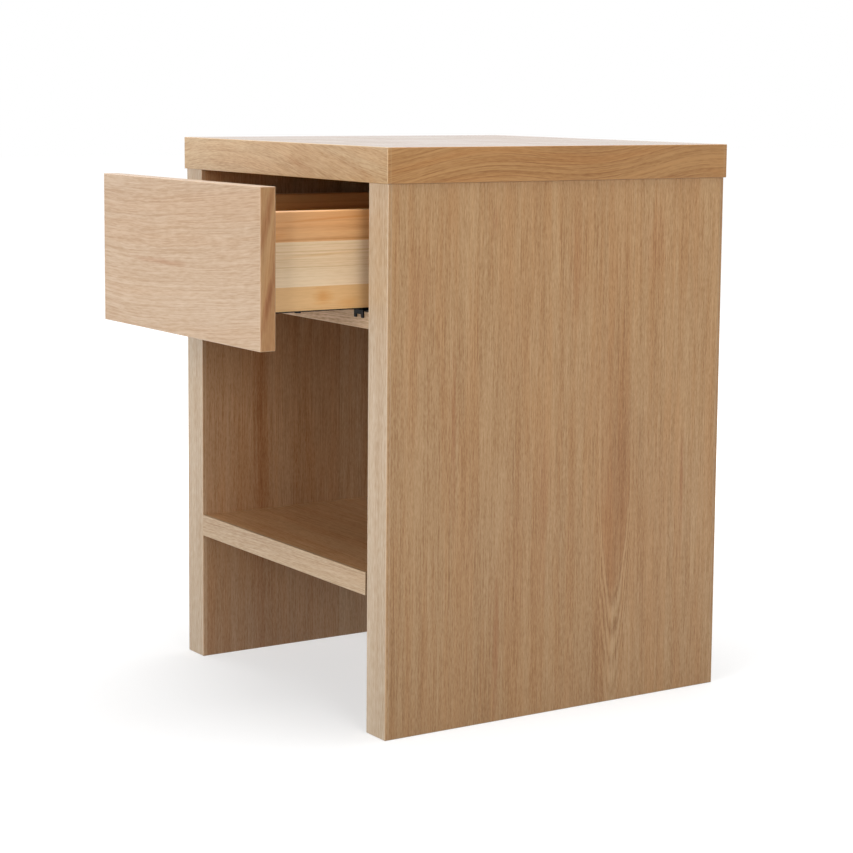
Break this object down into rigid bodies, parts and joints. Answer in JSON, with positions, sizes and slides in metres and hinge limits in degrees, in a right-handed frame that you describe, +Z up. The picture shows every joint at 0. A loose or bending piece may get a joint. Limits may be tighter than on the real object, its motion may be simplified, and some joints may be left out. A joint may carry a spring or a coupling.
{
  "type": "nightstand with drawer",
  "caption": "Oak nightstand with a thick overhanging top, full-height side panels, a plain pull-out drawer, an open shelf and open floor space.",
  "frame": {"origin": "on the floor, under the middle of the whole part with its drawer standing open by 112 mm as at rest; the carcass's own middle is 55 mm behind it", "axes": "+Z up, +X to the right as seen from the front, +Y to the back; the drawer opens towards -Y"},
  "size_m": [0.4, 0.51, 0.55],
  "materials": {
    "oak_top": "satin lacquered oak veneer",
    "oak_panel": "satin lacquered oak veneer, upright grain",
    "oak_lipping": "satin lacquered solid oak edge",
    "oak_inside": "satin lacquered oak veneer",
    "oak_front": "satin lacquered oak, level grain",
    "back_board": "oak-veneered plywood",
    "pine_red": "clear lacquered pine",
    "pine_pale": "clear lacquered pine",
    "pine_yellow": "clear lacquered pine",
    "plywood": "clear lacquered plywood",
    "beech": "unfinished dowel",
    "black_steel": "satin black coated steel",
    "bright_steel": "zinc-plated steel",
    "ball_steel": "polished bearing steel",
    "black_plastic": "moulded plastic"
  },
  "bodies": {
    "carcass": {"top_panel": "oak_top", "top_front_lipping": "oak_lipping", "top_back_lipping": "oak_lipping", "top_lipping_left": "oak_lipping", "top_lipping_right": "oak_lipping", "side_panel_left": "oak_panel", "side_panel_right": "oak_panel", "side_panel_left_front_lipping": "oak_lipping", "side_panel_left_back_lipping": "oak_lipping", "side_panel_right_front_lipping": "oak_lipping", "side_panel_right_back_lipping": "oak_lipping", "divider_board": "oak_inside", "divider_lipping": "oak_lipping", "shelf_board": "oak_inside", "shelf_lipping": "oak_lipping", "back_panel": "back_board", "back_screws": "bright_steel", "shelf_pins": "bright_steel", "top_dowels": "beech", "divider_dowels": "beech", "cabinet_rail_left": "black_steel", "cabinet_rail_right": "black_steel", "cabinet_rail_screws": "bright_steel", "closing_bumpers": "black_plastic"},
    "drawer": {"drawer_rail_left": "black_steel", "drawer_rail_right": "black_steel", "drawer_rail_screws": "bright_steel", "drawer_front": "oak_front", "drawer_front_screws": "bright_steel", "drawer_bottom": "plywood", "drawer_bottom_screws": "bright_steel", "drawer_box_dowels": "beech", "drawer_box_back_lower_stave": "pine_pale", "drawer_box_back_upper_stave": "pine_red", "drawer_side_left_lower_stave": "pine_yellow", "drawer_side_left_middle_stave": "pine_pale", "drawer_side_left_upper_stave": "pine_red", "drawer_side_right_lower_stave": "pine_yellow", "drawer_side_right_middle_stave": "pine_pale", "drawer_side_right_upper_stave": "pine_red", "drawer_box_front_lower_stave": "pine_yellow", "drawer_box_front_middle_stave": "pine_pale", "drawer_box_front_upper_stave": "pine_red"},
    "ball_cages": {"ball_cage_left": "bright_steel", "ball_cage_right": "bright_steel", "runner_balls_left": "ball_steel", "runner_balls_right": "ball_steel"}
  },
  "joints": [
    {"name": "drawer_slide", "type": "slide", "parent": "carcass", "child": "drawer", "axis": [0, -1, 0], "range_m": [-0.112, 0.138]},
    {"name": "cage_slide", "type": "slide", "parent": "carcass", "child": "ball_cages", "axis": [0, -1, 0], "range_m": [-0.056, 0.069]}
  ],
  "couplings": [
    {"joint": "cage_slide", "follows": "drawer_slide", "ratio": 0.5}
  ]
}
